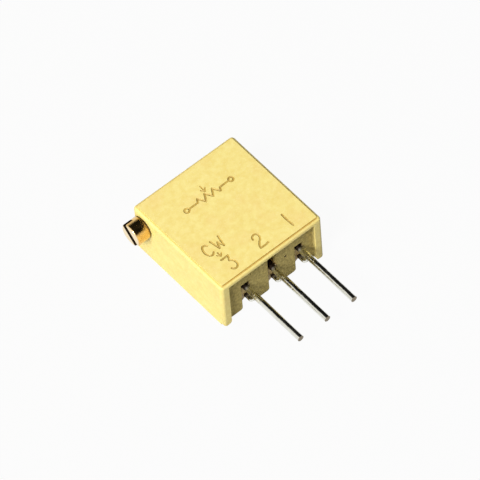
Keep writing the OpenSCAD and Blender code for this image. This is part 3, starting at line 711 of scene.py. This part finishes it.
# Painted shade in the driver slot.
slot_shaded_tone = add(tree, "Mix", {0: in_slot, 6: join_shaded_tone.outputs[2], 7: linear("#3a2c1c")},
                  data_type="RGBA")
ring_relief = add(tree, "Bump", {"Height": tool_marks.outputs[0],
                                 "Distance": TOOL_MARK_DEPTH * MM})
brass_gloss = add(tree, "MapRange", {"Value": stain.outputs["Fac"], "From Min": 0.35,
                                     "From Max": 0.7, "To Min": 0.13, "To Max": 0.24})
slot_shaded_gloss = add(tree, "Mix", {0: in_slot, 2: brass_gloss.outputs[0], 3: 0.6})
brass = add(tree, "BsdfPrincipled", {"Base Color": slot_shaded_tone.outputs[2], "Metallic": 1.0,
                                     "Roughness": slot_shaded_gloss.outputs[0],
                                     "Normal": ring_relief.outputs[0]})
add(tree, "OutputMaterial", {"Surface": brass.outputs[0]})
dress("adjusting_screw", turned_brass)

# Shaft seal: the ring in the screw's groove that keeps flux and washing out. It is moulded from
# silicone rubber and slipped over the screw, and turns with it.
BLOOM_SIZE = 0.15
BLOOM_DEPTH = 0.004

# Moulded silicone: red-brown and matt, with a trace of white bloom in patches.
silicone = empty_material("moulded_silicone_rubber")
tree = silicone.node_tree
place = add(tree, "TexCoord").outputs["Object"]
bloom = add(tree, "TexNoise", {"Vector": place, "Scale": per_mm(BLOOM_SIZE), "Detail": 5.0})
bloom_share = add(tree, "MapRange", {"Value": bloom.outputs["Fac"], "From Min": 0.55,
                                     "From Max": 0.8, "To Max": 0.35})
rubber_tone = add(tree, "Mix", {0: bloom_share.outputs[0], 6: linear("#83362a"),
                                7: linear("#b07a6c")}, data_type="RGBA")
rubber_relief = add(tree, "Bump", {"Height": bloom.outputs["Fac"], "Distance": BLOOM_DEPTH * MM})
rubber = add(tree, "BsdfPrincipled", {"Base Color": rubber_tone.outputs[2], "Roughness": 0.62,
                                      "IOR": 1.41, "Normal": rubber_relief.outputs[0]})
add(tree, "OutputMaterial", {"Surface": rubber.outputs[0]})
dress("screw_seal", silicone)

# Retainer: the forked plate that drops into the screw's neck and holds it in. It is blanked from
# cold-rolled steel strip, and stands in a slot of the case.
ROLL_LINE = 0.04
ROLL_LINE_DEPTH = 0.003
ROLLED_OUT = 0.05

# Cold-rolled steel: a clean grey with a soft shine, and rolling lines from end to end. The lines
# are about 0.01 mm apart, and are drawn coarser so that they show.
rolled_steel = empty_material("blanked_cold_rolled_steel")
tree = rolled_steel.node_tree
place = add(tree, "TexCoord").outputs["Object"]
roll_way = add(tree, "Mapping", {"Vector": place, "Scale": (1.0, 1.0, ROLLED_OUT)})
roll_lines = add(tree, "TexNoise", {"Vector": roll_way.outputs[0], "Scale": per_mm(ROLL_LINE),
                                    "Detail": 4.0})
steel_tone = add(tree, "Mix", {0: roll_lines.outputs["Fac"], 6: linear("#c8cacb"),
                               7: linear("#9c9fa1")}, data_type="RGBA")
roll_relief = add(tree, "Bump", {"Height": roll_lines.outputs["Fac"],
                                 "Distance": ROLL_LINE_DEPTH * MM})
steel = add(tree, "BsdfPrincipled", {"Base Color": steel_tone.outputs[2], "Metallic": 1.0,
                                     "Roughness": 0.3, "Normal": roll_relief.outputs[0]})
add(tree, "OutputMaterial", {"Surface": steel.outputs[0]})
dress("screw_retainer", rolled_steel)

# Worm wheel: the toothed disc with its hub, driven by the worm on the screw. It is
# injection-moulded from natural nylon and turns on a post of the case.
MILK_SIZE = 0.9
WHEEL_GRAIN = 0.05
WHEEL_GRAIN_DEPTH = 0.003

# Natural nylon: milky with a soft sheen, and slightly yellower in clouds. The mould's grain is
# about 0.02 mm, and is drawn coarser so that it shows.
natural_nylon = empty_material("moulded_natural_nylon")
tree = natural_nylon.node_tree
place = add(tree, "TexCoord").outputs["Object"]
milk = add(tree, "TexNoise", {"Vector": place, "Scale": per_mm(MILK_SIZE), "Detail": 3.0})
nylon_tone = add(tree, "Mix", {0: milk.outputs["Fac"], 6: linear("#ebe6d8"),
                               7: linear("#d8cfb6")}, data_type="RGBA")
mould_grain = add(tree, "TexNoise", {"Vector": place, "Scale": per_mm(WHEEL_GRAIN), "Detail": 2.0})
nylon_relief = add(tree, "Bump", {"Height": mould_grain.outputs["Fac"],
                                  "Distance": WHEEL_GRAIN_DEPTH * MM})
nylon = add(tree, "BsdfPrincipled", {"Base Color": nylon_tone.outputs[2], "Roughness": 0.38,
                                     "IOR": 1.53, "Normal": nylon_relief.outputs[0]})
add(tree, "OutputMaterial", {"Surface": nylon.outputs[0]})
dress("worm_wheel", natural_nylon)

# Wiper: the four-fingered contact that bridges the track and the collector. It is stamped from
# precious-metal spring strip, formed, and staked under the wheel.
POLISH_LINE = 0.03
POLISH_LINE_DEPTH = 0.002
POLISHED_OUT = 0.05

# Precious-metal spring: gold-coloured and bright, with fine polishing lines along its fingers.
# The lines are about 0.005 mm apart, and are drawn coarser so that they show.
spring_alloy = empty_material("stamped_precious_metal_spring")
tree = spring_alloy.node_tree
place = add(tree, "TexCoord").outputs["Object"]
polish_way = add(tree, "Mapping", {"Vector": place, "Scale": (1.0, POLISHED_OUT, 1.0)})
polish_lines = add(tree, "TexNoise", {"Vector": polish_way.outputs[0],
                                      "Scale": per_mm(POLISH_LINE), "Detail": 4.0})
alloy_tone = add(tree, "Mix", {0: polish_lines.outputs["Fac"], 6: linear("#e2c078"),
                               7: linear("#c49a4e")}, data_type="RGBA")
polish_relief = add(tree, "Bump", {"Height": polish_lines.outputs["Fac"],
                                   "Distance": POLISH_LINE_DEPTH * MM})
alloy = add(tree, "BsdfPrincipled", {"Base Color": alloy_tone.outputs[2], "Metallic": 1.0,
                                     "Roughness": 0.24, "Normal": polish_relief.outputs[0]})
add(tree, "OutputMaterial", {"Surface": alloy.outputs[0]})
dress("wiper", spring_alloy)

# Floor: a plain pale sweep for the part to lie on. It shows white to the camera and in the
# metal, and keeps a share of plain diffuse so that the part's shadow stays on it.
FLOOR_HALF = 2000
FLOOR_Z = -0.01
FLOOR_SHOWN = 0.95
FLOOR_GREY = "#a2a2a0"
WHITE = "#ffffff"

floor = solid_object("floor", [(FLOOR_HALF * x, FLOOR_HALF * y, FLOOR_Z)
                               for x, y in ((-1, -1), (1, -1), (1, 1), (-1, 1))],
                     [[0, 1, 2, 3]])
paper = empty_material("pale_paper")
tree = paper.node_tree
ray = add(tree, "LightPath")
seen = add(tree, "Math", {0: ray.outputs["Is Camera Ray"], 1: ray.outputs["Is Glossy Ray"]},
           operation="MAXIMUM")
seen_or_through = add(tree, "Math", {0: seen.outputs[0], 1: ray.outputs["Is Transmission Ray"]},
                      operation="MAXIMUM")
share = add(tree, "Math", {0: seen_or_through.outputs[0], 1: FLOOR_SHOWN}, operation="MULTIPLY")
matt = add(tree, "BsdfDiffuse", {"Color": linear(FLOOR_GREY)})
glow = add(tree, "Emission", {"Color": linear(WHITE), "Strength": 1.0})
sweep = add(tree, "MixShader", {0: share.outputs[0], 1: matt.outputs[0], 2: glow.outputs[0]})
add(tree, "OutputMaterial", {"Surface": sweep.outputs[0]})
floor.data.materials.append(paper)

# Light: one wide soft lamp from the screw side, and a room that is pale on that side and darker
# on the other. Metal sees the room at full strength, which draws the dark band along the pins.
KEY_AT = (-392, -130, 436)
KEY_SIZE = 220
KEY_POWER = 4.6
ROOM_PALE = "#f4f2ec"
ROOM_DARK = "#151413"
ROOM_LEVEL = 0.45
ROOM_DARK_SHARE = 0.6

# Where the room turns dark, as parts of a direction of length one: away from the screw side, and
# then either high up or far over to the other side.
OFF_SCREW_SIDE = (-0.62, -0.38)
HIGH_UP = (0.25, 0.55)
FAR_OVER = (0.4, 0.7)

key_light = bpy.data.lights.new("key_lamp", "AREA")
key_light.size = KEY_SIZE * MM
key_light.energy = KEY_POWER
key_lamp = bpy.data.objects.new("key_lamp", key_light)
key_lamp.location = Vector(KEY_AT) * MM
key_lamp.rotation_euler = (-Vector(KEY_AT)).to_track_quat("-Z", "Y").to_euler()
bpy.context.scene.collection.objects.link(key_lamp)

room = bpy.data.worlds.new("room")
room.use_nodes = True
room.node_tree.nodes.clear()
tree = room.node_tree
way = add(tree, "SeparateXYZ", {0: add(tree, "TexCoord").outputs["Generated"]})
off_side, high, far = (add(tree, "MapRange", {"Value": way.outputs[axis], "From Min": start,
                                              "From Max": full}, interpolation_type="SMOOTHSTEP")
                       for axis, (start, full) in (("X", OFF_SCREW_SIDE), ("Z", HIGH_UP),
                                                   ("X", FAR_OVER)))
high_or_far = add(tree, "Math", {0: high.outputs[0], 1: far.outputs[0]}, operation="MAXIMUM")
dark_there = add(tree, "Math", {0: off_side.outputs[0], 1: high_or_far.outputs[0]},
                 operation="MULTIPLY")
ray = add(tree, "LightPath")
share = add(tree, "MapRange", {"Value": ray.outputs["Is Glossy Ray"], "To Min": ROOM_DARK_SHARE})
darkness = add(tree, "Math", {0: dark_there.outputs[0], 1: share.outputs[0]},
               operation="MULTIPLY")
room_tone = add(tree, "Mix", {0: darkness.outputs[0], 6: linear(ROOM_PALE),
                              7: linear(ROOM_DARK)}, data_type="RGBA")
shown_tone = add(tree, "Mix", {0: ray.outputs["Is Camera Ray"], 6: room_tone.outputs[2],
                               7: linear(WHITE)}, data_type="RGBA")
seen = add(tree, "Math", {0: ray.outputs["Is Camera Ray"], 1: ray.outputs["Is Glossy Ray"]},
           operation="MAXIMUM")
level = add(tree, "MapRange", {"Value": seen.outputs[0], "To Min": ROOM_LEVEL, "To Max": 1.0})
backdrop = add(tree, "Background", {"Color": shown_tone.outputs[2], "Strength": level.outputs[0]})
add(tree, "OutputWorld", {"Surface": backdrop.outputs[0]})
bpy.context.scene.world = room

# Camera: a long lens from the screw and pin side, 55 degrees up, as in the photograph. Its place,
# aim and roll are those that bring the corners of the marked face onto the photograph's.
CAMERA_AT = (-147.895, -204.535, 359.424)
AIMED_AT = (0.1001, -1.1702, 2.3446)
ROLL = -5.2144
FOCAL_LENGTH = 450
SENSOR_WIDTH = 36
NEAREST_SEEN = 1

lens = bpy.data.cameras.new("camera")
lens.lens = FOCAL_LENGTH
lens.sensor_width = SENSOR_WIDTH
lens.clip_start = NEAREST_SEEN * MM
camera = bpy.data.objects.new("camera", lens)
aim = (Vector(AIMED_AT) - Vector(CAMERA_AT)).to_track_quat("-Z", "Y").to_matrix().to_4x4()
camera.matrix_world = (Matrix.Translation(Vector(CAMERA_AT) * MM) @ aim
                       @ Matrix.Rotation(math.radians(ROLL), 4, "Z"))
bpy.context.scene.collection.objects.link(camera)
bpy.context.scene.camera = camera
bpy.context.scene.view_settings.view_transform = "Standard"
